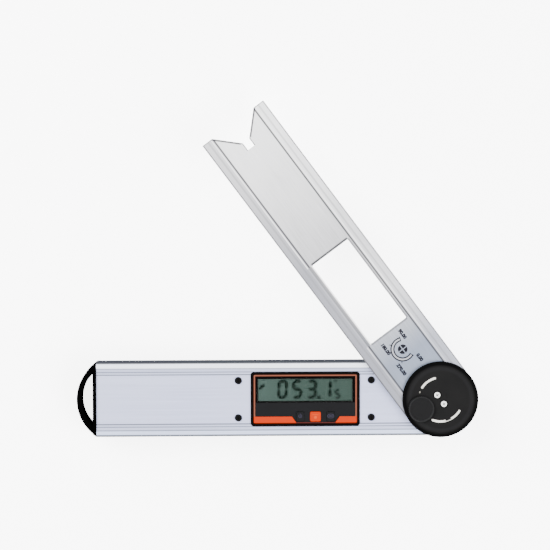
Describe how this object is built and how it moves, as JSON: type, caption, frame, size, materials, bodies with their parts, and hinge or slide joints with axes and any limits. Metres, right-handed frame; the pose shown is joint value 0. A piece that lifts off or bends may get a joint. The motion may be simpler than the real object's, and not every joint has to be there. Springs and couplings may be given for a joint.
{
  "type": "digital protractor",
  "caption": "Digital protractor with a display base arm and a hinged blade arm with a window and V notch, turning on a round lockable hub.",
  "frame": {"origin": "on the pivot axis, at the rear rest plane of the base and hub", "axes": "+Z towards the display side, -X along the base arm away from the hub, +Y towards the side that the blade opens to"},
  "size_m": [0.2915, 0.244, 0.0322],
  "materials": {
    "satin_aluminium": "satin anodised",
    "brushed_aluminium": "brushed along the arm",
    "black_plastic": "satin moulded",
    "knob_plastic": "satin moulded",
    "gloss_black": "gloss moulded",
    "orange_plastic": "semi-gloss moulded",
    "dark_panel": "printed film",
    "clear_window": "clear acrylic",
    "lcd_glass": "liquid crystal display",
    "cast_black": "black coated casting",
    "bright_steel": "bright plated",
    "turned_steel": "turned",
    "black_steel": "black oxide",
    "zinc_steel": "zinc plated",
    "spring_steel": "spring temper",
    "bronze": "turned bronze",
    "nylon": "natural nylon",
    "inner_plastic": "moulded",
    "circuit_board": "solder mask",
    "component": "moulded",
    "rubber": "soft",
    "cable_film": "polyimide film",
    "cell_can": "nickel plated"
  },
  "bodies": {
    "base": {"base_extrusion": "satin_aluminium", "end_cap": "black_plastic", "end_cap_screws": "black_steel", "hub_housing": "cast_black", "hub_housing_screws": "zinc_steel", "pivot_bush": "bronze", "thrust_washer": "nylon", "clamp_ring": "turned_steel", "disc_spring": "spring_steel", "encoder_stator": "circuit_board", "encoder_cable": "cable_film", "rear_hub_cover": "black_plastic", "rear_cover_screws": "zinc_steel", "display_carrier": "inner_plastic", "display_bezel": "gloss_black", "display_trim": "orange_plastic", "display_lens": "clear_window", "panel_overlay": "dark_panel", "lcd_panel": "lcd_glass", "zebra_strips": "rubber", "main_board": "circuit_board", "board_components": "component", "key_switches": "component", "display_screws": "black_steel", "battery": "cell_can", "battery_contact_side": "spring_steel", "battery_contact_leaf": "spring_steel"},
    "blade": {"blade_extrusion": "brushed_aluminium", "spindle": "turned_steel", "drive_pins": "turned_steel", "hub_cap": "black_plastic", "slot_ring": "bright_steel", "hub_cap_screws": "bright_steel", "rear_washer": "zinc_steel", "retaining_ring": "spring_steel", "encoder_rotor": "circuit_board", "rotor_screw": "zinc_steel"},
    "lock_knob": {"lock_knob": "knob_plastic", "lock_screw": "zinc_steel"},
    "clamp_shoe": {"clamp_shoe": "turned_steel"},
    "button_left": {"button_left": "dark_panel"},
    "button_middle": {"button_middle": "orange_plastic"},
    "button_right": {"button_right": "dark_panel"},
    "battery_cover": {"battery_cover": "black_plastic", "battery_seal": "rubber"}
  },
  "joints": [
    {"name": "blade_pivot", "type": "hinge", "parent": "base", "child": "blade", "pos_m": [0, 0, 0.022], "axis": [0, 0, 1], "range_deg": [-171.85, 53.15]},
    {"name": "lock_turn", "type": "hinge", "parent": "blade", "child": "lock_knob", "pos_m": [-0.01406, -0.00675, 0.03], "axis": [0, 0, 1], "range_deg": [-180, 0]},
    {"name": "shoe_lift", "type": "slide", "parent": "blade", "child": "clamp_shoe", "axis": [0, 0, 1], "range_m": [0, 0.00035]},
    {"name": "left_button_press", "type": "slide", "parent": "base", "child": "button_left", "axis": [0, 0, -1], "range_m": [0, 0.0005], "stiffness_N_per_m": 1500},
    {"name": "middle_button_press", "type": "slide", "parent": "base", "child": "button_middle", "axis": [0, 0, -1], "range_m": [0, 0.0005], "stiffness_N_per_m": 1500},
    {"name": "right_button_press", "type": "slide", "parent": "base", "child": "button_right", "axis": [0, 0, -1], "range_m": [0, 0.0005], "stiffness_N_per_m": 1500},
    {"name": "battery_cover_twist", "type": "hinge", "parent": "base", "child": "battery_cover", "pos_m": [-0.12, 0, 0.002], "axis": [0, 0, 1], "range_deg": [-50, 0]}
  ],
  "couplings": [
    {"joint": "lock_turn", "follows": "shoe_lift", "rad_per_m": -8975.9}
  ]
}
